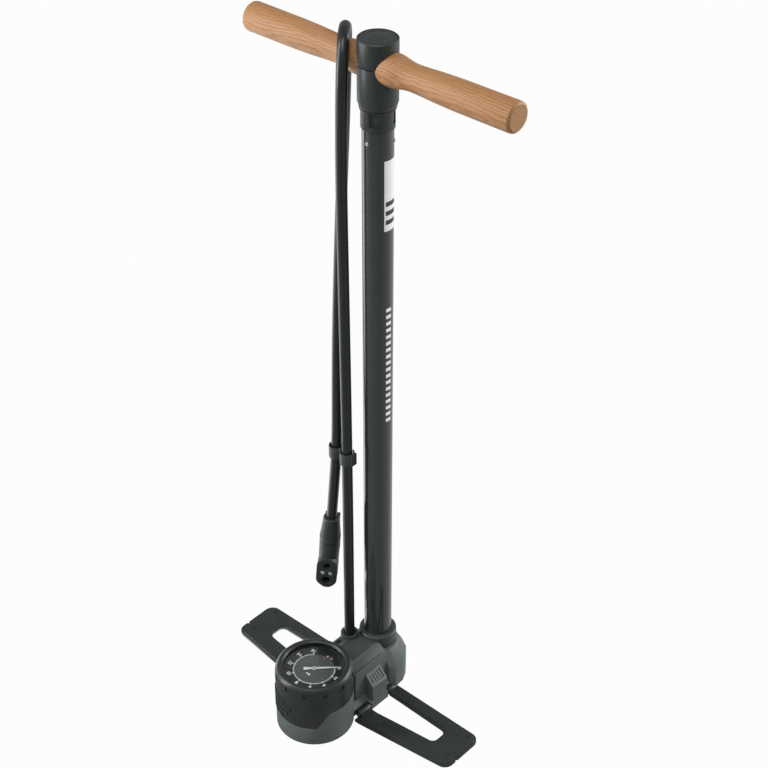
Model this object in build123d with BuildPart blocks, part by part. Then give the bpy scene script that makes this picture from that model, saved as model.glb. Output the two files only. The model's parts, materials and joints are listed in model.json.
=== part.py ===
"""A floor bike pump with a wooden T handle, a pressure gauge, folding feet and a hose over its handle.

Millimetres, +Z up. The origin is on the barrel's axis at the floor. +X runs along the handle and the
feet, and -Y points from the barrel to the gauge.
"""

import os
from math import cos, radians, sin, tan

from build123d import *

os.makedirs("parts", exist_ok=True)

# Driving dimensions
HEIGHT = 714.0  # floor to the top of the head
BARREL_R = 14.0
BARREL_BORE_R = 12.6
BARREL_FOOT_Z = 12.0
BARREL_TOP_Z = 633.0
ROD_R = 5.0
ROD_TOP_Z = 674.0
HANDLE_Z = 690.0
HANDLE_HALF = 147.5
HANDLE_END_R = 13.6
HANDLE_WAIST_R = 11.7
HANDLE_ROOT_R = 14.6
HEAD_R = 17.75
HEAD_FOOT_Z = 653.2
HEAD_SPLIT_Z = 691.0
POD_Y = -95.0  # the gauge's axis
POD_R = 39.3
POD_WALL = 2.8
POD_RIM_Z = 41.0
SLEEVE_TONGUE_Z = 23.0
SLEEVE_TOP_Z = 64.0
POD_TOP_Z = 74.4
SOLE_Z = 1.0  # the casting's underside, which stands on rubber pads
BLOCK_HALF = 23.0  # half the width of the block between gauge and barrel
BLOCK_TOP_Z = 45.0
CHEEK_X = 25.4  # outer face of the casting's side cheeks
CHEEK_TOP_Z = 49.8
REAR_SIDE = [(29.5, -15.0), (33.3, -9.0), (32.5, 3.0), (27.8, 12.6), (20.0, 22.0), (8.0, 28.5)]
COLLAR_R = 19.0
COLLAR_TOP_Z = 59.6
HOSE_R = 5.2
BOSS_X, BOSS_Y = -17.0, -24.7  # the hose socket
BOSS_R = 9.0
BOSS_TOP_Z = 58.0
HOSE_FOOT_Z = 47.0
AIRWAY_R = 2.4
AIRWAY_Z = 8.0
HINGE_X, HINGE_Z = 34.5, 6.0  # the feet's hinge axis
KNUCKLE_R = 4.2
PIN_R = 2.0
FOOT_END_X = 147.0
FOOT_SOLE_Z = 1.8
FIT = 0.05  # running clearance on the radius


def save(builder, name):
    """Labels a finished piece and writes it."""
    builder.part.label = name
    export_step(builder.part, f"parts/{name}.step")


def ring(name, outer, inner, low, high, x=0.0, y=0.0):
    """A plain ring or bush about a vertical axis at x, y."""
    with BuildPart() as made:
        with BuildSketch(Plane.XY.offset(low)):
            with Locations((x, y)):
                Circle(outer)
                Circle(inner, mode=Mode.SUBTRACT)
        extrude(amount=high - low)
    save(made, name)


# ---------------------------------------------------------------- barrel and its cap
RIVET_Z = 621.5
RIVET_ANGLES = (-90, 30, 150)
RIVET_R = 1.2

with BuildPart() as barrel:
    with BuildSketch(Plane.XY.offset(BARREL_FOOT_Z)):
        Circle(BARREL_R)
        Circle(BARREL_BORE_R, mode=Mode.SUBTRACT)
    extrude(amount=BARREL_TOP_Z - BARREL_FOOT_Z)
    for angle in RIVET_ANGLES:
        radial = Plane((0, 0, RIVET_Z), x_dir=(0, 0, 1), z_dir=(cos(radians(angle)), sin(radians(angle)), 0))
        with BuildSketch(radial):
            Circle(RIVET_R + FIT)
        extrude(amount=BARREL_R + 2, mode=Mode.SUBTRACT)
save(barrel, "barrel")

CAP_FOOT_Z = 612.0
CAP_R = 15.0
CAP_FLARE_R = 16.3
CAP_FLARE_Z = 648.0
CAP_TOP_Z = 652.6
BUSH_R = 8.0
WINDOW_FIRST = -61  # degrees, the first of four windows round the cap
WINDOW_DEPTH_R = 13.2

with BuildPart() as barrel_cap:
    with BuildSketch(Plane.XZ):
        with BuildLine():
            Polyline(
                (BUSH_R, CAP_FOOT_Z), (BARREL_BORE_R - FIT, CAP_FOOT_Z), (BARREL_BORE_R - FIT, BARREL_TOP_Z),
                (CAP_R, BARREL_TOP_Z), (CAP_R, CAP_FLARE_Z), (CAP_FLARE_R, CAP_TOP_Z), (BUSH_R, CAP_TOP_Z),
                close=True,
            )
        make_face()
    revolve(axis=Axis.Z)
    chamfer(barrel_cap.edges().filter_by(GeomType.CIRCLE).filter_by_position(Axis.Z, BARREL_TOP_Z, BARREL_TOP_Z)
            .sort_by(SortBy.RADIUS)[-1], 0.5)
    for angle in RIVET_ANGLES:
        radial = Plane((0, 0, RIVET_Z), x_dir=(0, 0, 1), z_dir=(cos(radians(angle)), sin(radians(angle)), 0))
        with BuildSketch(radial):
            Circle(RIVET_R + FIT)
        extrude(amount=BARREL_R, mode=Mode.SUBTRACT)
    for turn in range(4):
        angle = WINDOW_FIRST + 90 * turn
        radial = Plane((0, 0, 0), x_dir=(-sin(radians(angle)), cos(radians(angle)), 0),
                       z_dir=(cos(radians(angle)), sin(radians(angle)), 0))
        with BuildSketch(radial.offset(WINDOW_DEPTH_R)):
            with Locations((0, 644.6)):
                RectangleRounded(9.0, 13.0, 0.8)
        extrude(amount=6, mode=Mode.SUBTRACT)
save(barrel_cap, "barrel_cap")

with BuildPart() as cap_rivets:
    for angle in RIVET_ANGLES:
        radial = Plane((0, 0, RIVET_Z), x_dir=(0, 0, 1), z_dir=(cos(radians(angle)), sin(radians(angle)), 0))
        with BuildSketch(radial.offset(BUSH_R + 0.5)):
            Circle(RIVET_R)
        extrude(amount=BARREL_R - BUSH_R - 0.5)
        with BuildSketch(radial.offset(BARREL_R)):
            Circle(2.0)
        extrude(amount=0.8, taper=25)
save(cap_rivets, "cap_rivets")

ring("rod_bushing", BUSH_R - 0.02, ROD_R + FIT, CAP_FOOT_Z, 649.5)
ring("rod_wiper", BUSH_R - 0.02, ROD_R + FIT, 649.6, 652.0)

# ---------------------------------------------------------------- plunger: rod and piston
STUD_R = 3.0
STUD_FOOT_Z = 20.0
SHOULDER_Z = 36.0
SCREW_R = 2.55
SCREW_FOOT_Z = 655.0

with BuildPart() as piston_rod:
    with BuildSketch(Plane.XY.offset(SHOULDER_Z)):
        Circle(ROD_R)
    extrude(amount=ROD_TOP_Z - SHOULDER_Z)
    with BuildSketch(Plane.XY.offset(STUD_FOOT_Z)):
        Circle(STUD_R)
    extrude(amount=SHOULDER_Z - STUD_FOOT_Z)
    with BuildSketch(Plane.XY.offset(SCREW_FOOT_Z - 3)):
        Circle(SCREW_R + FIT)
    extrude(amount=ROD_TOP_Z, mode=Mode.SUBTRACT)
save(piston_rod, "piston_rod")

with BuildPart() as piston_body:
    with BuildSketch(Plane.XZ):
        with BuildLine():
            Polyline(
                (STUD_R + FIT, 33), (12.2, 33), (12.2, 36), (11.4, 36), (11.4, 41), (12.2, 41), (12.2, 44),
                (10.5, 46), (ROD_R + FIT, 46), (ROD_R + FIT, SHOULDER_Z), (STUD_R + FIT, SHOULDER_Z), close=True,
            )
        make_face()
    revolve(axis=Axis.Z)
save(piston_body, "piston_body")

ring("piston_guide_ring", BARREL_BORE_R - FIT, 11.45, 36.1, 40.9)

with BuildPart() as piston_cup:
    with BuildSketch(Plane.XZ):
        with BuildLine():
            Polyline(
                (STUD_R + FIT, 30.5), (10.6, 30.5), (11.2, 25.2), (12.5, 25.2), (12.5, 33), (STUD_R + FIT, 33),
                close=True,
            )
        make_face()
    revolve(axis=Axis.Z)
save(piston_cup, "piston_cup")

ring("piston_washer", 9.0, STUD_R + FIT, 28.9, 30.5)

with BuildPart() as piston_nut:
    with BuildSketch(Plane.XY.offset(24.0)):
        RegularPolygon(5.5, 6)
        Circle(STUD_R + FIT, mode=Mode.SUBTRACT)
    extrude(amount=4.9)
save(piston_nut, "piston_nut")

# ---------------------------------------------------------------- plunger: head and handle
with BuildPart() as handle:
    with BuildSketch(Plane.XZ):
        with BuildLine():
            right = [(19.0, HANDLE_ROOT_R), (42.0, HANDLE_WAIST_R), (64.0, 12.7), (88.0, 13.4), (146.0, HANDLE_END_R)]
            Line((-19.0, HANDLE_Z + HANDLE_ROOT_R), (19.0, HANDLE_Z + HANDLE_ROOT_R))
            for side in (1, -1):
                Spline([(side * x, HANDLE_Z + r) for x, r in right])
                Polyline(
                    (side * 146.0, HANDLE_Z + HANDLE_END_R), (side * HANDLE_HALF, HANDLE_Z + HANDLE_END_R - 1.5),
                    (side * HANDLE_HALF, HANDLE_Z),
                )
            Line((HANDLE_HALF, HANDLE_Z), (-HANDLE_HALF, HANDLE_Z))
        make_face()
    revolve(axis=Axis((0, 0, HANDLE_Z), (1, 0, 0)))
    with BuildSketch(Plane.XY.offset(HANDLE_Z - 20)):
        Circle(SCREW_R + 0.4)
    extrude(amount=40, mode=Mode.SUBTRACT)
save(handle, "handle")

HEAD_SHOULDER_Z = 658.0
BUMPER_R = 9.0
BUMPER_TOP_Z = 657.5

with BuildPart() as head_body:
    with BuildSketch(Plane.XZ):
        with BuildLine():
            Polyline(
                (BUMPER_R + 0.2, HEAD_FOOT_Z), (CAP_FLARE_R, HEAD_FOOT_Z), (HEAD_R, HEAD_SHOULDER_Z),
                (HEAD_R, HEAD_SPLIT_Z - 0.4), (STUD_R, HEAD_SPLIT_Z - 0.4), (STUD_R, ROD_TOP_Z),
                (ROD_R + FIT, ROD_TOP_Z), (ROD_R + FIT, BUMPER_TOP_Z), (BUMPER_R + 0.2, BUMPER_TOP_Z), close=True,
            )
        make_face()
    revolve(axis=Axis.Z)
    with BuildSketch(Plane.YZ.offset(-HEAD_R)):
        with Locations((0, HANDLE_Z)):
            Circle(HANDLE_ROOT_R + 0.1)
    extrude(amount=2 * HEAD_R, mode=Mode.SUBTRACT)
save(head_body, "head_body")

BADGE_R = 16.2
BADGE_Z = 712.2
SCREW_HEAD_Z = 707.0

with BuildPart() as head_cap:
    with BuildSketch(Plane.XZ):
        with BuildLine():
            Polyline(
                (STUD_R, HEAD_SPLIT_Z + 0.4), (HEAD_R, HEAD_SPLIT_Z + 0.4), (HEAD_R, HEIGHT - 0.8),
                (HEAD_R - 0.8, HEIGHT), (BADGE_R + 0.2, HEIGHT), (BADGE_R + 0.2, BADGE_Z), (5.3, BADGE_Z),
                (5.3, SCREW_HEAD_Z), (STUD_R, SCREW_HEAD_Z), close=True,
            )
        make_face()
    revolve(axis=Axis.Z)
    with BuildSketch(Plane.YZ.offset(-HEAD_R)):
        with Locations((0, HANDLE_Z)):
            Circle(HANDLE_ROOT_R + 0.1)
    extrude(amount=2 * HEAD_R, mode=Mode.SUBTRACT)
save(head_cap, "head_cap")

with BuildPart() as head_badge:
    with BuildSketch(Plane.XY.offset(BADGE_Z)):
        Circle(BADGE_R)
    extrude(amount=1.4)
    chamfer(head_badge.faces().sort_by(Axis.Z)[-1].edges(), 0.3)
save(head_badge, "head_badge")

with BuildPart() as head_screw:
    with BuildSketch(Plane.XY.offset(SCREW_FOOT_Z)):
        Circle(SCREW_R)
    extrude(amount=SCREW_HEAD_Z - SCREW_FOOT_Z)
    with BuildSketch(Plane.XY.offset(SCREW_HEAD_Z)):
        Circle(5.0)
        RegularPolygon(2.4, 6, mode=Mode.SUBTRACT)
    extrude(amount=4.5)
    with BuildSketch(Plane.XY.offset(SCREW_HEAD_Z)):
        Circle(4.0)
    extrude(amount=1.5)
save(head_screw, "head_screw")

ring("rod_bumper", BUMPER_R, ROD_R + 0.02, HEAD_FOOT_Z + 0.4, BUMPER_TOP_Z)

# ---------------------------------------------------------------- base casting
SCREW_SPOTS = [(13.0, -52.5), (-13.0, -52.5), (10.2, 13.1), (-10.2, 13.1)]
BASE_PAD_SPOTS = [(24.0, -112.0), (-24.0, -112.0), (0.0, 0.0), (20.0, 6.0), (-20.0, 6.0)]
BASE_PAD_R = 5.0
CHAMBER_R = 6.0
CHAMBER_FLOOR_Z = 4.0
LUG_LOW_Y, LUG_HIGH_Y = -50.5, -25.8
LUG_X = 37.6
REAR_WALL_Z = 28.0
REAR_TOP_SHRINK = 0.68


def rear_outline(shrink=1.0):
    """The rear's many-sided outline in plan, shrunk towards the barrel's axis."""
    side = [(x * shrink, max(y * shrink, -15.0) if y > -15 else y) for x, y in REAR_SIDE]
    return side + [(-x, y) for x, y in reversed(side)]


with BuildPart() as base_casting:
    # the cup that holds the gauge
    with BuildSketch(Plane.XY.offset(SOLE_Z)):
        with Locations((0, POD_Y)):
            Circle(POD_R)
    extrude(amount=POD_RIM_Z - SOLE_Z)
    # the block and the eight-sided rear
    with BuildSketch(Plane.XY.offset(SOLE_Z)):
        with Locations((0, -38.0)):
            Rectangle(2 * BLOCK_HALF, 60.0)
    extrude(amount=BLOCK_TOP_Z - SOLE_Z)
    with BuildSketch(Plane.XY.offset(SOLE_Z)):
        Polygon(*rear_outline(), align=None)
    extrude(amount=REAR_WALL_Z - SOLE_Z)
    with BuildSketch(Plane.XY.offset(REAR_WALL_Z)):
        Polygon(*rear_outline(), align=None)
    with BuildSketch(Plane.XY.offset(BLOCK_TOP_Z)):
        Polygon(*rear_outline(REAR_TOP_SHRINK), align=None)
    loft(ruled=True)
    # the cheeks beside the cover and the sill behind the feet's hinges
    for side in (1, -1):
        with BuildSketch(Plane.XZ.offset(14.0)):
            Polygon((side * (BLOCK_HALF - 2), SOLE_Z), (side * CHEEK_X, SOLE_Z), (side * CHEEK_X, CHEEK_TOP_Z),
                    (side * (BLOCK_HALF + 0.4), CHEEK_TOP_Z), (side * (BLOCK_HALF + 0.4), BLOCK_TOP_Z),
                    (side * (BLOCK_HALF - 2), BLOCK_TOP_Z), align=None)
        extrude(amount=47.5)
        with BuildSketch(Plane.XZ.offset(14.0)):
            Polygon((side * 20.0, SOLE_Z), (side * 29.8, SOLE_Z), (side * 29.8, 9.0), (side * CHEEK_X, 15.0),
                    (side * 20.0, 15.0), align=None)
        extrude(amount=57.0)
    # lugs for the feet's hinge pins
    for side in (1, -1):
        with BuildSketch(Plane.XZ.offset(-LUG_HIGH_Y)):
            with Locations((side * (BLOCK_HALF + LUG_X) / 2, HINGE_Z)):
                Rectangle(LUG_X - BLOCK_HALF, 2 * KNUCKLE_R)
        extrude(amount=LUG_HIGH_Y - LUG_LOW_Y)
        with BuildSketch(Plane.XZ.offset(-LUG_HIGH_Y)):
            with Locations((side * HINGE_X, HINGE_Z)):
                Circle(PIN_R + 0.02)
        extrude(amount=LUG_HIGH_Y - LUG_LOW_Y, mode=Mode.SUBTRACT)
    # the sleeve stands on the cup, in front of the block
    with BuildSketch(Plane.XY.offset(POD_RIM_Z)):
        with Locations((0, POD_Y)):
            Circle(POD_R + 0.1)
    extrude(amount=10, mode=Mode.SUBTRACT)
    # inside the cup
    with BuildSketch(Plane.XY.offset(SOLE_Z + 3)):
        with Locations((0, POD_Y)):
            Circle(POD_R - POD_WALL)
    extrude(amount=BLOCK_TOP_Z, mode=Mode.SUBTRACT)
    # the front of the cup's rim drops to take the sleeve's tongue
    with BuildSketch(Plane.XZ.offset(-POD_Y)):
        Polygon((-28.7, SLEEVE_TONGUE_Z), (28.7, SLEEVE_TONGUE_Z), (36.7, POD_RIM_Z + 1), (-36.7, POD_RIM_Z + 1),
                align=None)
    extrude(amount=POD_R + 1, mode=Mode.SUBTRACT)
    # barrel socket, valve chamber and airways
    with BuildSketch(Plane.XY.offset(BARREL_FOOT_Z)):
        Circle(BARREL_R + 0.02)
    extrude(amount=BLOCK_TOP_Z, mode=Mode.SUBTRACT)
    with BuildSketch(Plane.XY.offset(CHAMBER_FLOOR_Z)):
        Circle(CHAMBER_R)
    extrude(amount=BARREL_FOOT_Z, mode=Mode.SUBTRACT)
    with BuildSketch(Plane.XZ.offset(0)):
        with Locations((0, AIRWAY_Z)):
            Circle(AIRWAY_R)
    extrude(amount=-POD_Y - POD_R + POD_WALL + 5, mode=Mode.SUBTRACT)
    with BuildSketch(Plane.YZ.offset(BOSS_X)):
        with Locations((BOSS_Y, AIRWAY_Z)):
            Circle(AIRWAY_R)
    extrude(amount=-BOSS_X, mode=Mode.SUBTRACT)
    with BuildSketch(Plane.XY.offset(AIRWAY_Z)):
        with Locations((BOSS_X, BOSS_Y)):
            Circle(AIRWAY_R)
    extrude(amount=BLOCK_TOP_Z, mode=Mode.SUBTRACT)
    with BuildSketch(Plane.XY.offset(38.0)):
        with Locations((BOSS_X, BOSS_Y)):
            Circle(4.6)
    extrude(amount=BLOCK_TOP_Z, mode=Mode.SUBTRACT)
    # two pockets lighten the block from below
    with BuildSketch(Plane.XY.offset(SOLE_Z)):
        with Locations((11.5, -33.0)):
            RectangleRounded(15.0, 30.0, 2.0)
        with Locations((-11.5, -40.5)):
            RectangleRounded(15.0, 15.0, 2.0)
    extrude(amount=36, mode=Mode.SUBTRACT)
    # screw holes, counterbored from below, and recesses for the pads
    for spot in SCREW_SPOTS:
        with BuildSketch(Plane.XY.offset(SOLE_Z)):
            with Locations(spot):
                Circle(1.55)
        extrude(amount=BLOCK_TOP_Z, mode=Mode.SUBTRACT)
    with BuildSketch(Plane.XY.offset(SOLE_Z)):
        with Locations(SCREW_SPOTS[:2]):
            Circle(3.2)
        with Locations(SCREW_SPOTS[2:]):
            Circle(2.6)
    extrude(amount=8, mode=Mode.SUBTRACT)
    with BuildSketch(Plane.XY.offset(SOLE_Z)):
        with Locations(BASE_PAD_SPOTS):
            Circle(BASE_PAD_R + 0.1)
    extrude(amount=1.5, mode=Mode.SUBTRACT)
save(base_casting, "base_casting")

with BuildPart() as base_pads:
    with BuildSketch():
        with Locations(BASE_PAD_SPOTS):
            Circle(BASE_PAD_R)
    extrude(amount=2.5)
save(base_pads, "base_pads")

with BuildPart() as base_screws:
    for spot, head_r in zip(SCREW_SPOTS, (3.0, 3.0, 2.4, 2.4)):
        with BuildSketch(Plane.XY.offset(SOLE_Z + 5.5)):
            with Locations(spot):
                Circle(head_r)
        extrude(amount=2.5)
        with BuildSketch(Plane.XY.offset(SOLE_Z + 8)):
            with Locations(spot):
                Circle(1.5)
        extrude(amount=42)
save(base_screws, "base_screws")

# ---------------------------------------------------------------- base cover with collar and hose boss
RIDGE_HALF = 12.0
RIDGE_Z = 55.0

with BuildPart() as base_cover:
    with BuildSketch(Plane.XZ.offset(13.0)):
        Polygon((-BLOCK_HALF, BLOCK_TOP_Z), (BLOCK_HALF, BLOCK_TOP_Z), (BLOCK_HALF, 46.4), (RIDGE_HALF, RIDGE_Z),
                (-RIDGE_HALF, RIDGE_Z), (-BLOCK_HALF, 46.4), align=None)
    extrude(amount=54)
    with BuildSketch(Plane.XZ):
        Polygon((0, BLOCK_TOP_Z), (COLLAR_R + 0.4, BLOCK_TOP_Z), (COLLAR_R, COLLAR_TOP_Z - 0.8),
                (COLLAR_R - 0.8, COLLAR_TOP_Z), (0, COLLAR_TOP_Z), align=None)
    revolve(axis=Axis.Z)
    with BuildSketch(Plane.XY.offset(BLOCK_TOP_Z)):
        with Locations((BOSS_X, BOSS_Y)):
            Circle(BOSS_R + 1.6)
    extrude(amount=5.0, taper=8)
    with BuildSketch(Plane.XY.offset(BLOCK_TOP_Z)):
        with Locations((BOSS_X, BOSS_Y)):
            Circle(BOSS_R + 0.4)
    extrude(amount=BOSS_TOP_Z - BLOCK_TOP_Z, taper=1.5)
    with BuildSketch(Plane.XY.offset(BLOCK_TOP_Z)):
        Circle(BARREL_R + 0.1)
    extrude(amount=30, mode=Mode.SUBTRACT)
    # the cup and sleeve stand in front
    with BuildSketch(Plane.XY.offset(BLOCK_TOP_Z)):
        with Locations((0, POD_Y)):
            Circle(POD_R + 0.3)
    extrude(amount=30, mode=Mode.SUBTRACT)
    # the casting's cheeks stand beside it
    with BuildSketch(Plane.XY.offset(BLOCK_TOP_Z)):
        with Locations((BLOCK_HALF + 5.3, -37.7), (-BLOCK_HALF - 5.3, -37.7)):
            Rectangle(10.0, 47.7)
    extrude(amount=CHEEK_TOP_Z + 0.1 - BLOCK_TOP_Z, mode=Mode.SUBTRACT)
    # the hose's bore with its grommet seat, and the fitting below it
    for radius, low in ((4.6, BLOCK_TOP_Z), (HOSE_R + 0.2, HOSE_FOOT_Z), (6.5, 50.0)):
        with BuildSketch(Plane.XY.offset(low)):
            with Locations((BOSS_X, BOSS_Y)):
                Circle(radius)
        extrude(amount=20, mode=Mode.SUBTRACT)
    for spot in SCREW_SPOTS:
        with BuildSketch(Plane.XY.offset(BLOCK_TOP_Z)):
            with Locations(spot):
                Circle(1.55)
        extrude(amount=6.5, mode=Mode.SUBTRACT)
save(base_cover, "base_cover")

with BuildPart() as hose_fitting:
    with BuildSketch(Plane.XY.offset(38.0)):
        with Locations((BOSS_X, BOSS_Y)):
            Circle(4.5)
            Circle(1.6, mode=Mode.SUBTRACT)
    extrude(amount=HOSE_FOOT_Z - 38.0)
save(hose_fitting, "hose_fitting")
ring("hose_grommet", 6.4, HOSE_R + FIT, 50.0, 57.3, BOSS_X, BOSS_Y)

# ---------------------------------------------------------------- valve at the barrel's foot
SEAT_TOP_Z = 16.5
VALVE_LIFT = 2.0
VALVE_FOOT_Z = 9.8

with BuildPart() as valve_seat:
    with BuildSketch(Plane.XY.offset(BARREL_FOOT_Z)):
        Circle(BARREL_BORE_R - 0.02)
        Circle(2.5, mode=Mode.SUBTRACT)
    extrude(amount=SEAT_TOP_Z - BARREL_FOOT_Z)
save(valve_seat, "valve_seat")
ring("piston_stop", 12.3, 7.0, SEAT_TOP_Z, SEAT_TOP_Z + 2.5)

with BuildPart() as valve_disc:
    with BuildSketch(Plane.XY.offset(VALVE_FOOT_Z)):
        Circle(4.6)
    extrude(amount=BARREL_FOOT_Z - 0.1 - VALVE_FOOT_Z)
save(valve_disc, "valve_disc")

with BuildPart() as valve_spring:
    with BuildLine():
        coil = Helix(pitch=1.25, height=VALVE_FOOT_Z - CHAMBER_FLOOR_Z - 1.2, radius=3.4,
                     center=(0, 0, CHAMBER_FLOOR_Z + 0.6))
    with BuildSketch(Plane(origin=coil @ 0, z_dir=coil % 0)):
        Circle(0.35)
    sweep(path=coil)
save(valve_spring, "valve_spring")

# ---------------------------------------------------------------- gauge
with BuildPart() as gauge_sleeve:
    with BuildSketch(Plane.XY.offset(POD_RIM_Z)):
        with Locations((0, POD_Y)):
            Circle(POD_R)
            Circle(POD_R - POD_WALL, mode=Mode.SUBTRACT)
    extrude(amount=SLEEVE_TOP_Z - POD_RIM_Z)
    with BuildSketch(Plane.XZ.offset(-POD_Y)):
        Polygon((-28.6, SLEEVE_TONGUE_Z + 0.1), (28.6, SLEEVE_TONGUE_Z + 0.1), (36.6, POD_RIM_Z + 1),
                (-36.6, POD_RIM_Z + 1), align=None)
    tongue = extrude(amount=POD_R + 1, mode=Mode.PRIVATE)
    with BuildSketch(Plane.XY.offset(SLEEVE_TONGUE_Z)):
        with Locations((0, POD_Y)):
            Circle(POD_R)
            Circle(POD_R - POD_WALL, mode=Mode.SUBTRACT)
    shell = extrude(amount=POD_RIM_Z + 1 - SLEEVE_TONGUE_Z, mode=Mode.PRIVATE)
    add(shell & tongue)
save(gauge_sleeve, "gauge_sleeve")

BEZEL_NOTCHES = 12

with BuildPart() as gauge_bezel:
    with BuildSketch(Plane.XZ.offset(-POD_Y)):
        with BuildLine():
            Line((33.3, SLEEVE_TOP_Z), (POD_R, SLEEVE_TOP_Z))
            Line((POD_R, SLEEVE_TOP_Z), (POD_R, 67.0))
            RadiusArc((POD_R, 67.0), (35.6, POD_TOP_Z), -8.0)
            Polyline((35.6, POD_TOP_Z), (33.0, POD_TOP_Z), (31.2, 72.9), (31.2, 72.1), (33.3, 72.1),
                     (33.3, SLEEVE_TOP_Z))
        make_face()
    revolve(axis=Axis((0, POD_Y, 0), (0, 0, 1)))
    with BuildSketch(Plane.XY.offset(SLEEVE_TOP_Z)):
        with Locations((0, POD_Y)):
            with PolarLocations(POD_R + 1.4, BEZEL_NOTCHES):
                Rectangle(5.0, 4.2)
    extrude(amount=6.0, mode=Mode.SUBTRACT)
save(gauge_bezel, "gauge_bezel")

with BuildPart() as gauge_lens:
    with BuildSketch(Plane.XY.offset(70.1)):
        with Locations((0, POD_Y)):
            Circle(33.1)
    extrude(amount=1.9)
save(gauge_lens, "gauge_lens")

ring("gauge_seal", 33.0, 31.6, 68.0, 70.1, 0, POD_Y)

DIAL_Z = 66.6

with BuildPart() as gauge_case:
    with BuildSketch(Plane.XZ.offset(-POD_Y)):
        Polygon(
            (3.0, 40.0), (33.1, 40.0), (33.1, 60.5), (POD_R - POD_WALL - 0.05, 60.5),
            (POD_R - POD_WALL - 0.05, 63.9), (33.1, 63.9), (33.1, 68.0), (31.6, 68.0), (31.6, DIAL_Z),
            (30.0, DIAL_Z), (30.0, 41.6), (3.0, 41.6), align=None,
        )
    revolve(axis=Axis((0, POD_Y, 0), (0, 0, 1)))
save(gauge_case, "gauge_case")

with BuildPart() as gauge_dial:
    with BuildSketch(Plane.XY.offset(DIAL_Z)):
        with Locations((0, POD_Y)):
            Circle(31.5)
            Circle(1.2, mode=Mode.SUBTRACT)
    extrude(amount=0.8)
save(gauge_dial, "gauge_dial")

with BuildPart() as gauge_stem:
    with BuildSketch(Plane.XY.offset(30.0)):
        with Locations((0, POD_Y)):
            RegularPolygon(7.5, 6)
    extrude(amount=10)
    with BuildSketch(Plane.XY.offset(24.0)):
        with Locations((0, POD_Y)):
            Circle(5.0)
    extrude(amount=6)
    with BuildSketch(Plane.XY.offset(40.0)):
        with Locations((0, POD_Y)):
            Circle(2.95)
    extrude(amount=6)
    with BuildSketch(Plane.XY.offset(46.0)):
        with Locations((0, POD_Y + 4)):
            Rectangle(9.0, 17.0)
    extrude(amount=6)
    with BuildSketch(Plane.XY.offset(24.0)):
        with Locations((0, POD_Y)):
            Circle(1.2)
    extrude(amount=24, mode=Mode.SUBTRACT)
    with BuildSketch(Plane.XY.offset(24.0)):
        with Locations((0, POD_Y)):
            Circle(2.55)
    extrude(amount=5, mode=Mode.SUBTRACT)
    with BuildSketch(Plane.XY.offset(50.0)):
        with Locations((0, POD_Y)):
            Circle(0.65)
    extrude(amount=3, mode=Mode.SUBTRACT)
save(gauge_stem, "gauge_stem")

BOURDON_R = 20.0

with BuildPart() as bourdon_tube:
    with BuildLine():
        arc = CenterArc((0, POD_Y, 49.0), BOURDON_R, 90, -262)
    with BuildSketch(Plane(origin=arc @ 0, z_dir=arc % 0)):
        Rectangle(2.4, 6.0)
    sweep(path=arc)
    with BuildSketch(Plane.XY.offset(46.0)):
        with Locations((0, POD_Y + 16.2)):
            Rectangle(5.0, 7.2)
    extrude(amount=6)
save(bourdon_tube, "bourdon_tube")

AIR_PIPE_R = 2.5

with BuildPart() as air_pipe:
    with BuildLine() as air_path:
        FilletPolyline((0, -60.5, AIRWAY_Z), (0, POD_Y, AIRWAY_Z), (0, POD_Y, 28.9), radius=9.0)
    with BuildSketch(Plane(origin=(0, -60.5, AIRWAY_Z), z_dir=(0, -1, 0))):
        Circle(AIR_PIPE_R)
        Circle(1.2, mode=Mode.SUBTRACT)
    sweep(path=air_path.line)
save(air_pipe, "air_pipe")

NEEDLE_Z = 68.2
NEEDLE_AZIMUTH = 45.0

with BuildPart() as gauge_needle:
    rest = Plane((0, POD_Y, NEEDLE_Z), x_dir=(cos(radians(NEEDLE_AZIMUTH)), sin(radians(NEEDLE_AZIMUTH)), 0))
    with BuildSketch(rest):
        Polygon((-10.5, -1.9), (-10.5, 1.9), (-3.0, 1.2), (3.0, 1.3), (26.7, 0.3), (26.7, -0.3), (3.0, -1.3),
                (-3.0, -1.2), align=None)
        Circle(2.4)
        Circle(0.5, mode=Mode.SUBTRACT)
    extrude(amount=0.5)
save(gauge_needle, "gauge_needle")

with BuildPart() as needle_arbor:
    with BuildSketch(Plane.XY.offset(50.2)):
        with Locations((0, POD_Y)):
            Circle(0.6)
    extrude(amount=NEEDLE_Z - 0.6 - 50.2)
    with BuildSketch(Plane.XY.offset(NEEDLE_Z - 0.6)):
        with Locations((0, POD_Y)):
            Circle(1.6)
    extrude(amount=0.6)
    with BuildSketch(Plane.XY.offset(NEEDLE_Z)):
        with Locations((0, POD_Y)):
            Circle(0.5)
    extrude(amount=0.5)
    with BuildSketch(Plane.XY.offset(NEEDLE_Z + 0.5)):
        with Locations((0, POD_Y)):
            Circle(1.6)
    extrude(amount=0.9, taper=12)
save(needle_arbor, "needle_arbor")

# ---------------------------------------------------------------- folding feet
FOOT_TOP_Z = 4.6
FOOT_BEAD_Z = 5.5
FOOT_OUTLINE = [(35.6, -74.6), (41.0, -74.6), (FOOT_END_X, -61.8), (FOOT_END_X, -9.5), (35.6, -9.0),
                (35.6, -15.2), (38.0, -15.2), (38.0, -68.4), (35.6, -68.4)]
SLOT_END_X = 115.4
SLOT_OUTLINE = [(37.0, -52.3), (47.0, -52.3), (77.0, -48.6), (SLOT_END_X, -44.4), (SLOT_END_X, -25.6), (47.0, -24.0),
                (37.0, -24.0)]
KNUCKLES = [(-68.0, -52.8), (-23.4, -15.6)]
FOOT_PAD_SPOTS = [(136.0, -16.0), (136.0, -47.5), (61.3, -59.5)]
FOOT_PAD_R = 4.6
STUD_PIN_R = 1.5

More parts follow.
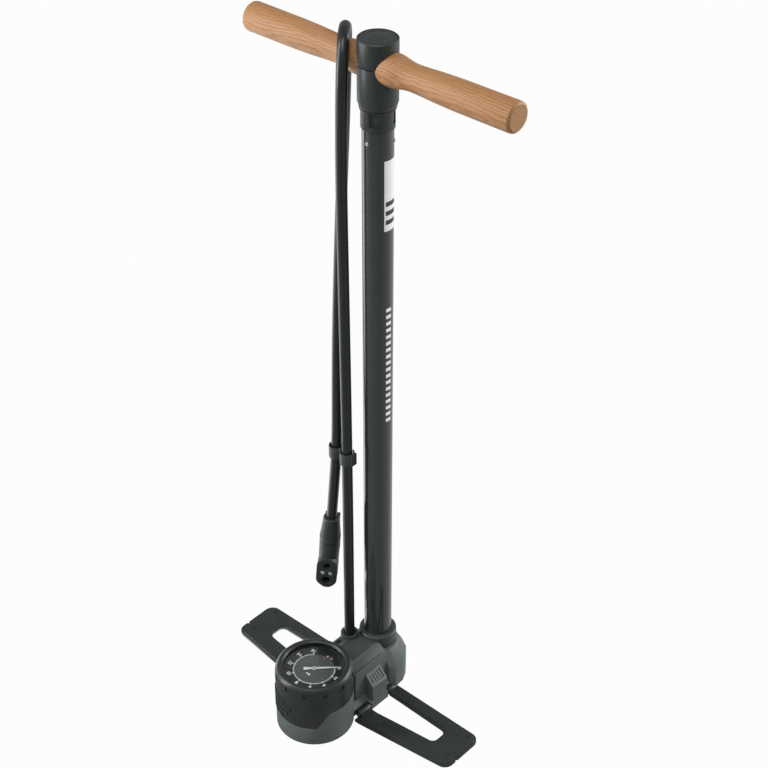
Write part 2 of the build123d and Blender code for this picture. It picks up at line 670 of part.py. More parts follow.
for name, side in (("foot_right", 1), ("foot_left", -1)):
    with BuildPart() as foot:
        with BuildSketch(Plane.XY.offset(FOOT_SOLE_Z)) as plate:
            Polygon(*[(side * x, y) for x, y in FOOT_OUTLINE], align=None)
            far = plate.vertices().group_by(Axis.X)[-1 if side > 0 else 0]
            fillet(far, 10.0)
            Polygon(*[(side * x, y) for x, y in SLOT_OUTLINE], align=None, mode=Mode.SUBTRACT)
            inner = [v for v in plate.vertices() if abs(abs(v.X) - SLOT_END_X) < 0.1]
            fillet(inner, 6.5)
            with Locations((side * FOOT_END_X, -46.5)):
                Circle(1.5, mode=Mode.SUBTRACT)
        extrude(amount=FOOT_TOP_Z - FOOT_SOLE_Z)
        with BuildSketch(Plane.XY.offset(FOOT_TOP_Z)) as land:
            add(plate.sketch.moved(Location((0, 0, FOOT_TOP_Z - FOOT_SOLE_Z))))
            offset(amount=-1.7, kind=Kind.ARC, mode=Mode.REPLACE)
        extrude(amount=FOOT_BEAD_Z - FOOT_TOP_Z, taper=20)
        for low, high in KNUCKLES:
            with BuildSketch(Plane.XZ.offset(-high)):
                with Locations((side * HINGE_X, HINGE_Z)):
                    Circle(KNUCKLE_R)
                with Locations((side * (HINGE_X + 3.0), (FOOT_SOLE_Z + FOOT_BEAD_Z) / 2)):
                    Rectangle(6.0, FOOT_BEAD_Z - FOOT_SOLE_Z)
            extrude(amount=high - low)
            with BuildSketch(Plane.XZ.offset(-high)):
                with Locations((side * HINGE_X, HINGE_Z)):
                    Circle(PIN_R + FIT)
            extrude(amount=high - low, mode=Mode.SUBTRACT)
        with BuildSketch(Plane.XY.offset(FOOT_SOLE_Z)):
            with Locations([(side * x, y) for x, y in FOOT_PAD_SPOTS]):
                Circle(STUD_PIN_R)
        extrude(amount=6, mode=Mode.SUBTRACT)
    save(foot, name)

    with BuildPart() as pads:
        for x, y in FOOT_PAD_SPOTS:
            with BuildSketch():
                with Locations((side * x, y)):
                    Circle(FOOT_PAD_R)
            extrude(amount=FOOT_SOLE_Z)
            with BuildSketch(Plane.XY.offset(FOOT_SOLE_Z)):
                with Locations((side * x, y)):
                    Circle(STUD_PIN_R)
            extrude(amount=FOOT_BEAD_Z + 0.5 - FOOT_SOLE_Z)
    save(pads, name + "_pads")

    with BuildPart() as pin:
        with BuildSketch(Plane.XZ.offset(15.4)):
            with Locations((side * HINGE_X, HINGE_Z)):
                Circle(PIN_R)
        extrude(amount=53.2)
    save(pin, name + "_hinge_pin")

    # the block the folded foot closes over, with a framed, ribbed thumb pad
    with BuildPart() as catch:
        with BuildSketch(Plane.XZ.offset(25.8)):
            Polygon(*[(side * x, z) for x, z in ((CHEEK_X, 15.1), (29.8, 10.5), (36.0, 10.5), (36.0, 28.8),
                                                 (25.9, 40.4), (CHEEK_X, 40.4))], align=None)
        extrude(amount=21.4)
        pad = Plane(origin=(side * 30.95, -36.5, 34.6), x_dir=(0, 1, 0), z_dir=(side * 11.6, 0, 10.1))
        with BuildSketch(pad.offset(-0.9)):
            Rectangle(16.5, 10.6)
        extrude(amount=5, mode=Mode.SUBTRACT)
        with BuildSketch(pad.offset(-0.9)):
            with GridLocations(3.6, 0, 4, 1):
                Rectangle(1.7, 7.6)
        extrude(amount=0.8)
    save(catch, name + "_catch")

# ---------------------------------------------------------------- hose
LOOP_Z = 711.0
SPLIT_Z = 648.0
RISER_POINTS = [
    (BOSS_X, BOSS_Y, HOSE_FOOT_Z + 0.1), (-16.9, -24.6, 180.0), (-17.4, -24.8, 320.0), (-19.0, -24.5, 460.0),
    (-20.4, -24.8, 600.0),
]
LOOP_POINTS = [(-17.2, -24.7, LOOP_Z), (-54.2, 21.2, LOOP_Z)]
CHUCK_TILT = 5.5
CHUCK_FOOT = Vector(-49.98, -23.0, 104.0)
CHUCK_AXIS = Vector(sin(radians(CHUCK_TILT)), 0, cos(radians(CHUCK_TILT)))
NUT_TOP = 94.4
TAIL_START = CHUCK_FOOT + CHUCK_AXIS * NUT_TOP
TAIL_POINTS = [
    (-49.2, 10.3, 608.0), (-45.2, -1.5, 500.0), (-39.4, -13.2, 390.0), (-30.8, -24.0, 297.0),
    tuple(TAIL_START + CHUCK_AXIS * 40.2), tuple(TAIL_START),
]


def at_height(low, high, z):
    """The point at height z on the line between two points."""
    low, high = Vector(*low), Vector(*high)
    return low + (high - low) * ((z - low.Z) / (high.Z - low.Z))


def cord(points, name, start_gap=0.0, end_gap=0.0):
    """A hose through straight runs joined by tangent arcs, as long as the runs allow."""
    points = [Vector(*p) for p in points]
    points[0] += (points[1] - points[0]).normalized() * start_gap
    points[-1] += (points[-2] - points[-1]).normalized() * end_gap
    radii = []
    for before, corner, after in zip(points, points[1:], points[2:]):
        turn = (corner - before).get_angle(after - corner)
        shorter = min((corner - before).length, (after - corner).length)
        radii.append(0.45 * shorter / tan(radians(turn / 2)))
    with BuildPart() as hose:
        with BuildLine() as path:
            FilletPolyline(*points, radius=radii)
        with BuildSketch(Plane(origin=points[0], z_dir=points[1] - points[0])):
            Circle(HOSE_R)
        sweep(path=path.line)
    length = sum(edge.length for edge in path.edges())
    section = 3.14159265 * HOSE_R**2
    print(name, "length", round(length, 1), "radii", [round(r, 1) for r in radii],
          "volume ratio", round(hose.part.volume / (section * length), 4))
    save(hose, name)


riser_split = at_height(RISER_POINTS[-1], LOOP_POINTS[0], SPLIT_Z)
tail_split = at_height(TAIL_POINTS[0], LOOP_POINTS[1], SPLIT_Z)
cord(RISER_POINTS + [tuple(riser_split)], "hose_riser")
cord([tuple(riser_split)] + LOOP_POINTS + [tuple(tail_split)], "hose_loop", 0.35, 0.35)
cord([tuple(tail_split)] + TAIL_POINTS, "hose_tail")

# the clip that holds the two strands together
CLIP_LOW, CLIP_HIGH = 279.0, 292.0
CLIP_RISER = (-17.3, -24.75)
CLIP_TAIL = (-32.5, -23.5)

with BuildPart() as hose_clip:
    with BuildSketch(Plane.XY.offset(CLIP_LOW)):
        with Locations(CLIP_RISER, CLIP_TAIL):
            Circle(7.3)
        with Locations(((CLIP_RISER[0] + CLIP_TAIL[0]) / 2, (CLIP_RISER[1] + CLIP_TAIL[1]) / 2)):
            Rectangle(5.0, 6.0)
        with Locations((CLIP_RISER[0] + 7.4, CLIP_RISER[1] + 1.0)):
            Rectangle(2.0, 7.0)
        with Locations(CLIP_RISER, CLIP_TAIL):
            Circle(HOSE_R + 0.75, mode=Mode.SUBTRACT)
        with Locations((CLIP_RISER[0], CLIP_RISER[1] + 7.0), (CLIP_TAIL[0], CLIP_TAIL[1] + 7.0)):
            Rectangle(4.0, 8.0, mode=Mode.SUBTRACT)
    extrude(amount=CLIP_HIGH - CLIP_LOW)
save(hose_clip, "hose_clip")

# ---------------------------------------------------------------- chuck
FACE_AZIMUTH = -54.0
FACE_OUT = 12.0  # axis to the face with the valve ports
FACE_WIDTH = 21.0
PORT_LOW, PORT_HIGH = 16.0, 35.5  # up the axis from the chuck's foot
LEVER_S = 40.0
LEVER_OUT = -14.5

face_dir = Vector(cos(radians(FACE_AZIMUTH)), sin(radians(FACE_AZIMUTH)), 0)
face_dir = (face_dir - CHUCK_AXIS * face_dir.dot(CHUCK_AXIS)).normalized()
side_dir = CHUCK_AXIS.cross(face_dir)
SECTION = Plane(origin=CHUCK_FOOT, x_dir=face_dir, z_dir=CHUCK_AXIS)
# x along the axis and y outwards through the ports
CHEEK = Plane(origin=CHUCK_FOOT, x_dir=face_dir, z_dir=-side_dir)
FRONT = Plane(origin=CHUCK_FOOT, x_dir=side_dir, z_dir=face_dir)

with BuildPart() as chuck_body:
    with BuildSketch(CHEEK):
        Polygon((0, 2.0), (8.0, 2.0), (9.9, 5.0), (10.5, 63.2), (0, 63.2), align=None)
    revolve(axis=Axis(CHUCK_FOOT, CHUCK_AXIS))
    with BuildSketch(FRONT):
        with Locations((0, 26.5)):
            SlotOverall(38.0, FACE_WIDTH, rotation=90)
    extrude(amount=FACE_OUT)
    with BuildSketch(FRONT):
        with Locations((0, 26.5)):
            SlotOverall(35.0, FACE_WIDTH - 3.0, rotation=90)
    extrude(amount=-8.6)
    for side in (1, -1):
        with BuildSketch(CHEEK.offset(side * 9.4)):
            Polygon((-8.0, 28.0), (-14.5, 34.5), (-17.5, 38.0), (-17.5, 42.5), (-14.5, 44.5), (-8.0, 50.0), align=None)
        extrude(amount=-side * 2.4)
    with BuildSketch(CHEEK.offset(-10)):
        with Locations((LEVER_OUT, LEVER_S)):
            Circle(1.5)
    extrude(amount=20, mode=Mode.SUBTRACT)
    for s, radius, depth in ((PORT_LOW, 4.9, 2.5), (PORT_HIGH, 4.0, 4.0)):
        with BuildSketch(FRONT.offset(-depth)):
            with Locations((0, s)):
                Circle(radius)
        extrude(amount=FACE_OUT + 6, mode=Mode.SUBTRACT)
    with BuildSketch(SECTION.offset(16.0)):
        Circle(1.8)
    extrude(amount=50, mode=Mode.SUBTRACT)
save(chuck_body, "chuck_body")

with BuildPart() as chuck_nut:
    with BuildSketch(CHEEK):
        Polygon((0, 63.5), (10.5, 63.5), (10.7, 69.0), (10.1, 69.6), (10.5, 70.4), (9.4, 80.0), (8.2, NUT_TOP - 0.8),
                (7.4, NUT_TOP - 0.05), (0, NUT_TOP - 0.05), align=None)
    revolve(axis=Axis(CHUCK_FOOT, CHUCK_AXIS))
    with BuildSketch(SECTION.offset(63.5)):
        Circle(1.8)
    extrude(amount=40, mode=Mode.SUBTRACT)
save(chuck_nut, "chuck_nut")

with BuildPart() as chuck_seals:
    for s, radius, bore, depth in ((PORT_LOW, 4.85, 3.9, 2.4), (PORT_HIGH, 3.95, 3.0, 3.9)):
        with BuildSketch(FRONT.offset(-depth)):
            with Locations((0, s)):
                Circle(radius)
                Circle(bore, mode=Mode.SUBTRACT)
        extrude(amount=FACE_OUT - 0.8 + depth)
save(chuck_seals, "chuck_seals")

with BuildPart() as chuck_rivets:
    with BuildSketch(FRONT.offset(FACE_OUT)):
        with Locations((-3.9, 26.2), (3.9, 26.2)):
            Circle(2.1)
    extrude(amount=0.4, taper=20)
save(chuck_rivets, "chuck_rivets")

with BuildPart() as lever_pin:
    with BuildSketch(CHEEK.offset(-9.8)):
        with Locations((LEVER_OUT, LEVER_S)):
            Circle(1.48)
    extrude(amount=19.6)
save(lever_pin, "lever_pin")

with BuildPart() as chuck_lever:
    with BuildSketch(CHEEK.offset(-6.6)):
        Polygon((-11.6, 37.5), (-17.0, 36.5), (-18.8, 40.0), (-18.2, 56.0), (-12.6, 56.0), (-11.4, 44.0), align=None)
    extrude(amount=13.2)
    with BuildSketch(CHEEK.offset(-7.4)):
        Polygon((-18.35, 51.5), (-18.2, 56.0), (-15.2, 80.0), (-15.0, 87.0), (-12.6, 88.5), (-11.4, 86.0),
                (-11.6, 70.0), (-12.6, 58.0), (-12.3, 51.5), align=None)
    extrude(amount=14.8)
    with BuildSketch(CHEEK.offset(-6.6)):
        with Locations((LEVER_OUT, LEVER_S)):
            Circle(1.48 + FIT)
    extrude(amount=13.2, mode=Mode.SUBTRACT)
    # the finger pad's grooves
    for s in (70.0, 74.0, 78.0, 82.0):
        with BuildSketch(CHEEK.offset(-7.4)):
            with Locations((-16.6, s)):
                Circle(1.2)
        extrude(amount=14.8, mode=Mode.SUBTRACT)
save(chuck_lever, "chuck_lever")
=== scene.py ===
"""Looks for the floor bike pump: camera, hose, pieces, materials and studio.

Sizes and places of the pump's shapes are in mm and are scaled by MM. The camera, the studio, the materials'
depths and the mesh tolerances are in metres.
"""

import json
from math import cos, pi, radians, sin, tan

import bmesh
import bpy
from mathutils import Matrix, Vector


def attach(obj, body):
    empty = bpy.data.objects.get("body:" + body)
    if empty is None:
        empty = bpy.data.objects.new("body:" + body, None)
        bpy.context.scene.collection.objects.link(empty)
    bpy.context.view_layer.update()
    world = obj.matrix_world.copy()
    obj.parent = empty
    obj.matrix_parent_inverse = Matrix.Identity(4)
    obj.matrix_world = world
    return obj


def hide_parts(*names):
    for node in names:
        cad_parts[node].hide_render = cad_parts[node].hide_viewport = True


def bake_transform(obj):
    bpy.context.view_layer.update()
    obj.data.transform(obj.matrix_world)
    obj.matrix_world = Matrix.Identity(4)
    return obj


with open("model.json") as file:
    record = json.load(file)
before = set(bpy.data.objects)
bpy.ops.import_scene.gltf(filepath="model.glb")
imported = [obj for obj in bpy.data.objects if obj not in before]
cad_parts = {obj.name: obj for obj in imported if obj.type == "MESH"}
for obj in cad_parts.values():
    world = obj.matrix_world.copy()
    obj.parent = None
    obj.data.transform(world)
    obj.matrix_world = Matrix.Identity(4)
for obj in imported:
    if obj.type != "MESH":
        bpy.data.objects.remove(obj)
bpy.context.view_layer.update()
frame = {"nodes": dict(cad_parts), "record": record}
nodes = frame["nodes"]
scene = bpy.context.scene
slot_of = {part["node"]: part["material_slot"] for part in frame["record"]["subparts"]}
body_of = {node: body for body, names in frame["record"]["behaviour"]["bodies"].items() for node in names}
MM = 0.001
WHITE_VIEW = (0.98, 0.98, 0.98, 1)


def new_object(name, data):
    """An object in the scene that holds a mesh, a curve, a camera or a light."""
    obj = bpy.data.objects.new(name, data)
    scene.collection.objects.link(obj)
    return obj


# ---------------------------------------------------------------- camera
YAW, PITCH, ROLL = radians(131.766), radians(-35.376), radians(0.16)
CAMERA_PLACE = (0.88049, -0.9774, 1.3005)
FOCAL_LENGTH, SENSOR_WIDTH = 81.1, 36.0
CLIP_NEAR, CLIP_FAR = 0.05, 50.0
forward = Vector((cos(PITCH) * cos(YAW), cos(PITCH) * sin(YAW), sin(PITCH)))
right = forward.cross(Vector((0, 0, 1))).normalized()
upward = right.cross(forward)
right, upward = cos(ROLL) * right + sin(ROLL) * upward, cos(ROLL) * upward - sin(ROLL) * right
camera_data = bpy.data.cameras.new("camera")
camera_data.sensor_width = SENSOR_WIDTH
camera_data.lens = FOCAL_LENGTH
camera_data.clip_start = CLIP_NEAR
camera_data.clip_end = CLIP_FAR
camera = new_object("camera", camera_data)
facing = Matrix((right, upward, -forward)).transposed().to_4x4()
camera.matrix_world = Matrix.Translation(CAMERA_PLACE) @ facing
scene.camera = camera


# ---------------------------------------------------------------- materials
def adder(tree):
    """A function that adds a node to the tree, links its inputs and sets its values."""
    def add(kind, links=(), **values):
        node = tree.nodes.new(kind)
        for key, value in values.items():
            if key.startswith("in_"):
                node.inputs[key[3:].replace("_", " ")].default_value = value
            else:
                setattr(node, key, value)
        for socket, source in links:
            tree.links.new(source, node.inputs[socket])
        return node

    return add


def shader(name):
    """A new material with its node tree, its Principled shader and its add function."""
    material = bpy.data.materials.new(name)
    material.use_nodes = True
    tree = material.node_tree
    return material, tree, tree.nodes["Principled BSDF"], adder(tree)


def ramp(node, *stops):
    """Sets a colour ramp's stops to grey levels or colours."""
    while len(node.color_ramp.elements) > len(stops):
        node.color_ramp.elements.remove(node.color_ramp.elements[-1])
    while len(node.color_ramp.elements) < len(stops):
        node.color_ramp.elements.new(1.0)
    for element, (place, colour) in zip(node.color_ramp.elements, stops):
        red_green_blue = (colour,) * 3 if isinstance(colour, float) else colour
        element.position = place
        element.color = red_green_blue + (1.0,)


MOTTLE_SCALE = 60.0
SMUDGE_SHARE = 0.25
GRAIN_DEPTH = 0.0001


def finish_of(name, colour, rough, metallic=0.0, grain=0.0, grain_scale=2500.0, vary=0.12, rough_vary=0.08,
              coat=0.0, coat_rough=0.05, stretch=(1, 1, 1)):
    """A plain coloured finish with uneven tone and roughness and a fine surface grain."""
    material, tree, bsdf, add = shader(name)
    place = add("ShaderNodeTexCoord").outputs["Object"]
    place = add("ShaderNodeMapping", [("Vector", place)], in_Scale=stretch).outputs["Vector"]
    broad = add("ShaderNodeTexNoise", [("Vector", place)], in_Scale=MOTTLE_SCALE, in_Detail=4.0,
                in_Roughness=0.6)
    tone = add("ShaderNodeMapRange", [("Value", broad.outputs["Fac"])], in_From_Min=0.3, in_From_Max=0.7,
               in_To_Min=1.0 - vary, in_To_Max=1.0 + vary)
    mix = add("ShaderNodeVectorMath", [(1, tone.outputs["Result"])], operation="MULTIPLY")
    mix.inputs[0].default_value = colour
    tree.links.new(mix.outputs["Vector"], bsdf.inputs["Base Color"])
    fine = add("ShaderNodeTexNoise", [("Vector", place)], in_Scale=grain_scale * SMUDGE_SHARE, in_Detail=3.0)
    level = add("ShaderNodeMapRange", [("Value", fine.outputs["Fac"])],
                in_To_Min=max(rough - rough_vary, 0.02), in_To_Max=min(rough + rough_vary, 1.0))
    tree.links.new(level.outputs["Result"], bsdf.inputs["Roughness"])
    bsdf.inputs["Metallic"].default_value = metallic
    bsdf.inputs["Coat Weight"].default_value = coat
    bsdf.inputs["Coat Roughness"].default_value = coat_rough
    if grain:
        texture = add("ShaderNodeTexNoise", [("Vector", place)], in_Scale=grain_scale, in_Detail=2.0)
        bump = add("ShaderNodeBump", [("Height", texture.outputs["Fac"])], in_Strength=grain,
                   in_Distance=GRAIN_DEPTH)
        tree.links.new(bump.outputs["Normal"], bsdf.inputs["Normal"])
    return material


RING_TONES = ((0.0, (0.475, 0.246, 0.108)), (0.45, (0.45, 0.228, 0.098)), (0.8, (0.415, 0.205, 0.084)),
              (1.0, (0.365, 0.172, 0.068)))
PORE_TONES = ((0.28, 0.78), (0.5, 1.0), (0.75, 1.1))
FLECK_TONES = ((0.3, 0.7), (0.42, 1.0))
PORE_STRETCH = (28.0, 900.0, 900.0)
FLECK_STRETCH = (160.0, 1500.0, 1500.0)
RING_BEND = (0.0, 0.02, 0.02)


def darkened(tree, add, colour, shade, amount):
    """The colour multiplied by the shade, by the given amount."""
    mix = add("ShaderNodeMix", data_type="RGBA", blend_type="MULTIPLY")
    tree.links.new(colour, mix.inputs[6])
    tree.links.new(shade, mix.inputs[7])
    mix.inputs[0].default_value = amount
    return mix.outputs[2]


def beech():
    """Oiled beech with growth rings round an axis off the handle's own, fine pores and short flecks."""
    material, tree, bsdf, add = shader("beech")
    place = add("ShaderNodeTexCoord").outputs["Object"]
    warp = add("ShaderNodeTexNoise", [("Vector", place)], in_Scale=7.0, in_Detail=3.0)
    shift = add("ShaderNodeVectorMath", [(0, warp.outputs["Color"])], operation="SUBTRACT")
    shift.inputs[1].default_value = (0.5, 0.5, 0.5)
    bend = add("ShaderNodeVectorMath", [(0, shift.outputs["Vector"])], operation="MULTIPLY")
    bend.inputs[1].default_value = RING_BEND
    moved = add("ShaderNodeVectorMath", [(0, place), (1, bend.outputs["Vector"])], operation="ADD")
    tilt = add("ShaderNodeMapping", [("Vector", moved.outputs["Vector"])], in_Location=(0.0, 0.055, -0.66),
               in_Rotation=(0.0, 0.1, 0.05), in_Scale=(0.3, 1.0, 1.0))
    rings = add("ShaderNodeTexWave", [("Vector", tilt.outputs["Vector"])], wave_type="RINGS",
                rings_direction="X", in_Scale=130.0, in_Distortion=4.0, in_Detail=4.0, in_Detail_Scale=1.6)
    long = add("ShaderNodeMapping", [("Vector", place)], in_Scale=PORE_STRETCH)
    pores = add("ShaderNodeTexNoise", [("Vector", long.outputs["Vector"])], in_Scale=1.0, in_Detail=3.0,
                in_Roughness=0.65)
    short = add("ShaderNodeMapping", [("Vector", place)], in_Scale=FLECK_STRETCH)
    flecks = add("ShaderNodeTexNoise", [("Vector", short.outputs["Vector"])], in_Scale=1.0, in_Detail=1.0)
    base = add("ShaderNodeValToRGB", [("Fac", rings.outputs["Fac"])])
    ramp(base, *RING_TONES)
    streak = add("ShaderNodeValToRGB", [("Fac", pores.outputs["Fac"])])
    ramp(streak, *PORE_TONES)
    fleck = add("ShaderNodeValToRGB", [("Fac", flecks.outputs["Fac"])])
    ramp(fleck, *FLECK_TONES)
    streaked = darkened(tree, add, base.outputs["Color"], streak.outputs["Color"], 0.85)
    flecked = darkened(tree, add, streaked, fleck.outputs["Color"], 0.7)
    tree.links.new(flecked, bsdf.inputs["Base Color"])
    bump = add("ShaderNodeBump", [("Height", pores.outputs["Fac"])], in_Strength=0.12, in_Distance=0.0002)
    tree.links.new(bump.outputs["Normal"], bsdf.inputs["Normal"])
    bsdf.inputs["Roughness"].default_value = 0.5
    bsdf.inputs["Specular IOR Level"].default_value = 0.35
    return material


LENS_CLEAR = (0.97, 0.98, 0.98, 1)
LENS_REFLECTION = 0.14


def clear_lens():
    """Clear flat plastic: see-through, with a faint reflection."""
    material, tree, _, add = shader("lens")
    place = add("ShaderNodeTexCoord").outputs["Object"]
    haze = add("ShaderNodeTexNoise", [("Vector", place)], in_Scale=300.0, in_Detail=4.0)
    level = add("ShaderNodeMapRange", [("Value", haze.outputs["Fac"])], in_To_Min=0.02, in_To_Max=0.1)
    clear = add("ShaderNodeBsdfTransparent", in_Color=LENS_CLEAR)
    shine = add("ShaderNodeBsdfGlossy", [("Roughness", level.outputs["Result"])])
    edge = add("ShaderNodeFresnel", in_IOR=1.4)
    weak = add("ShaderNodeMath", [(0, edge.outputs[0])], operation="MULTIPLY")
    weak.inputs[1].default_value = LENS_REFLECTION
    both = add("ShaderNodeMixShader", [(0, weak.outputs[0]), (1, clear.outputs[0]), (2, shine.outputs[0])])
    tree.links.new(both.outputs[0], tree.nodes["Material Output"].inputs["Surface"])
    return material


MATERIALS = {
    "painted_tube": finish_of("painted_tube", (0.027, 0.035, 0.035), 0.24, vary=0.04, rough_vary=0.04,
                              coat=0.6, coat_rough=0.07),
    "cap_plastic": finish_of("cap_plastic", (0.023, 0.030, 0.030), 0.42, grain=0.15, grain_scale=3500.0),
    "steel": finish_of("steel", (0.55, 0.56, 0.57), 0.3, metallic=1.0, grain=0.15, grain_scale=1800.0,
                       stretch=(1, 1, 0.03)),
    "nylon": finish_of("nylon", (0.68, 0.66, 0.6), 0.45, grain=0.1),
    "rubber": finish_of("rubber", (0.016, 0.017, 0.017), 0.75, grain=0.3, grain_scale=2600.0),
    "cup_leather": finish_of("cup_leather", (0.2, 0.1, 0.045), 0.7, grain=0.6, grain_scale=1600.0, vary=0.25),
    "brass": finish_of("brass", (0.7, 0.48, 0.2), 0.32, metallic=1.0, grain=0.1),
    "beech": beech(),
    "badge": finish_of("badge", (0.03, 0.037, 0.038), 0.42, grain=0.15),
    "casting": finish_of("casting", (0.108, 0.127, 0.126), 0.5, grain=0.2, grain_scale=3000.0, vary=0.07),
    # The cover's darker grey is partly its own plastic and partly painted shade: the upward-facing top is
    # made darker than the lit casting in its colour.
    "cover_plastic": finish_of("cover_plastic", (0.045, 0.055, 0.055), 0.46, grain=0.15, grain_scale=3300.0),
    "gauge_plastic": finish_of("gauge_plastic", (0.019, 0.024, 0.024), 0.38, grain=0.12, grain_scale=3500.0),
    "lens": clear_lens(),
    "gauge_case": finish_of("gauge_case", (0.2, 0.21, 0.215), 0.4, metallic=0.8, grain=0.1),
    "dial": finish_of("dial", (0.012, 0.014, 0.014), 0.5, grain=0.05),
    "needle": finish_of("needle", (0.72, 0.73, 0.73), 0.35, grain=0.05),
    "needle_hub": finish_of("needle_hub", (0.66, 0.66, 0.65), 0.3, metallic=0.6, grain=0.05),
    "foot_paint": finish_of("foot_paint", (0.019, 0.024, 0.024), 0.4, grain=0.15, grain_scale=2800.0),
    "hose_rubber": finish_of("hose_rubber", (0.013, 0.017, 0.017), 0.3, grain=0.05, grain_scale=1500.0,
                             rough_vary=0.05, stretch=(1, 1, 0.4)),
    "clip_plastic": finish_of("clip_plastic", (0.04, 0.049, 0.049), 0.5, grain=0.2),
    "chuck_plastic": finish_of("chuck_plastic", (0.028, 0.035, 0.035), 0.47, grain=0.25, grain_scale=3500.0),
    "lever_plastic": finish_of("lever_plastic", (0.026, 0.033, 0.034), 0.5, grain=0.25, grain_scale=3500.0),
}
DIAL_GREY = finish_of("dial_grey", (0.075, 0.082, 0.082), 0.5, grain=0.05)
PRINT_WHITE = finish_of("print_white", (0.92, 0.92, 0.91), 0.5, grain=0.03, vary=0.03)
PRINT_RED = finish_of("print_red", (0.55, 0.02, 0.02), 0.5, grain=0.03)
PRINT_DARK = finish_of("print_dark", (0.03, 0.034, 0.034), 0.5, grain=0.03)
DOT_LIGHT = finish_of("dot_light", (0.42, 0.5, 0.48), 0.35, metallic=0.2, grain=0.05)

for node, cad in nodes.items():
    cad.data.materials.clear()
    cad.data.materials.append(MATERIALS[slot_of[node]])


# ---------------------------------------------------------------- mesh helpers
def settle(obj, body, slot_name, material=None, replaced=()):
    """Gives a finished piece its material, from its slot unless one is given, hangs it on its body and hides
    the CAD nodes it stands for.
    """
    obj.data.materials.clear()
    obj.data.materials.append(material or MATERIALS[slot_name])
    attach(obj, body)
    if replaced:
        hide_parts(*replaced)


def from_bmesh(name, bm, sharp_angle=None):
    """An object made from the bmesh, smooth up to the sharp angle in degrees where one is given."""
    mesh = bpy.data.meshes.new(name)
    bm.to_mesh(mesh)
    bm.free()
    if sharp_angle:
        mesh.shade_smooth()
        mesh.set_sharp_from_angle(angle=radians(sharp_angle))
    return new_object(name, mesh)


def around(count):
    """Equal angles round a full turn."""
    return [2 * pi * k / count for k in range(count)]


EDGE_STEPS = 3
EDGE_ANGLE = radians(32.0)
FLAT_ANGLE = radians(0.4)
MERGE_DISTANCE = 2e-6


def refined(node, width, material=None):
    """A CAD node's shape with its edges rounded, to show in its place."""
    mesh = nodes[node].data.copy()
    mesh.name = node + "_look"
    bm = bmesh.new()
    bm.from_mesh(mesh)
    bmesh.ops.remove_doubles(bm, verts=bm.verts, dist=MERGE_DISTANCE)
    bmesh.ops.dissolve_limit(bm, angle_limit=FLAT_ANGLE, verts=bm.verts, edges=bm.edges)
    bm.to_mesh(mesh)
    bm.free()
    obj = new_object(node + "_look", mesh)
    bevel = obj.modifiers.new("edges", "BEVEL")
    bevel.width = width * MM
    bevel.segments = EDGE_STEPS
    bevel.limit_method = "ANGLE"
    bevel.angle_limit = EDGE_ANGLE
    bevel.harden_normals = True
    mesh.shade_smooth()
    settle(obj, body_of[node], slot_of[node], material, (node,))


CORNER_STEPS = 5
CORNER_SHARE = 0.48


def rounded(corners):
    """A line of (r, z, radius) corners in mm with each corner rounded by its radius."""
    out = []
    for i, (r, z, radius) in enumerate(corners):
        here = Vector((r, z))
        if radius <= 0 or i in (0, len(corners) - 1):
            out.append(here)
            continue
        before = Vector(corners[i - 1][:2]) - here
        after = Vector(corners[i + 1][:2]) - here
        turn = pi - before.angle(after)
        reach = min(radius * tan(turn / 2), CORNER_SHARE * before.length, CORNER_SHARE * after.length)
        start = here + before.normalized() * reach
        end = here + after.normalized() * reach
        for k in range(CORNER_STEPS + 1):
            t = k / CORNER_STEPS
            out.append(start * (1 - t) ** 2 + here * 2 * t * (1 - t) + end * t**2)
    return out


def lathe(name, profile, origin=(0, 0, 0), axis=(0, 0, 1), segments=160):
    """A shape turned about an axis from (r, z) points in mm; ends on the axis close it."""
    origin, axis = Vector(origin), Vector(axis).normalized()
    side = axis.orthogonal().normalized()
    other = axis.cross(side)
    bm = bmesh.new()
    rings = []
    for r, z in profile:
        centre = origin + axis * z
        if r == 0.0:
            rings.append([bm.verts.new(centre * MM)])
        else:
            rings.append([bm.verts.new((centre + (side * cos(a) + other * sin(a)) * r) * MM)
                          for a in around(segments)])
    for low, high in zip(rings, rings[1:]):
        for k in range(segments):
            after = (k + 1) % segments
            if len(low) == 1:
                bm.faces.new((low[0], high[after], high[k]))
            elif len(high) == 1:
                bm.faces.new((low[k], low[after], high[0]))
            else:
                bm.faces.new((low[k], low[after], high[after], high[k]))
    bmesh.ops.recalc_face_normals(bm, faces=bm.faces)
    return from_bmesh(name, bm, sharp_angle=30.0)


TUBE_SIDES = 40


def tube(name, points, radius):
    """A closed tube of one radius through points, all in metres."""
    bm = bmesh.new()
    tangent = (points[1] - points[0]).normalized()
    side = tangent.orthogonal().normalized()
    rings = []
    for i, point in enumerate(points):
        ahead = (points[min(i + 1, len(points) - 1)] - points[max(i - 1, 0)]).normalized()
        side = tangent.rotation_difference(ahead) @ side
        tangent = ahead
        side = (side - tangent * side.dot(tangent)).normalized()
        other = tangent.cross(side)
        rings.append([bm.verts.new(point + (side * cos(a) + other * sin(a)) * radius)
                      for a in around(TUBE_SIDES)])
    for low, high in zip(rings, rings[1:]):
        for k in range(TUBE_SIDES):
            after = (k + 1) % TUBE_SIDES
            bm.faces.new((low[k], low[after], high[after], high[k]))
    bm.faces.new(list(reversed(rings[0])))
    bm.faces.new(rings[-1])
    return from_bmesh(name, bm, sharp_angle=50.0)


STRIP_DEGREES = 2.0
PRINT_THICK = 0.06


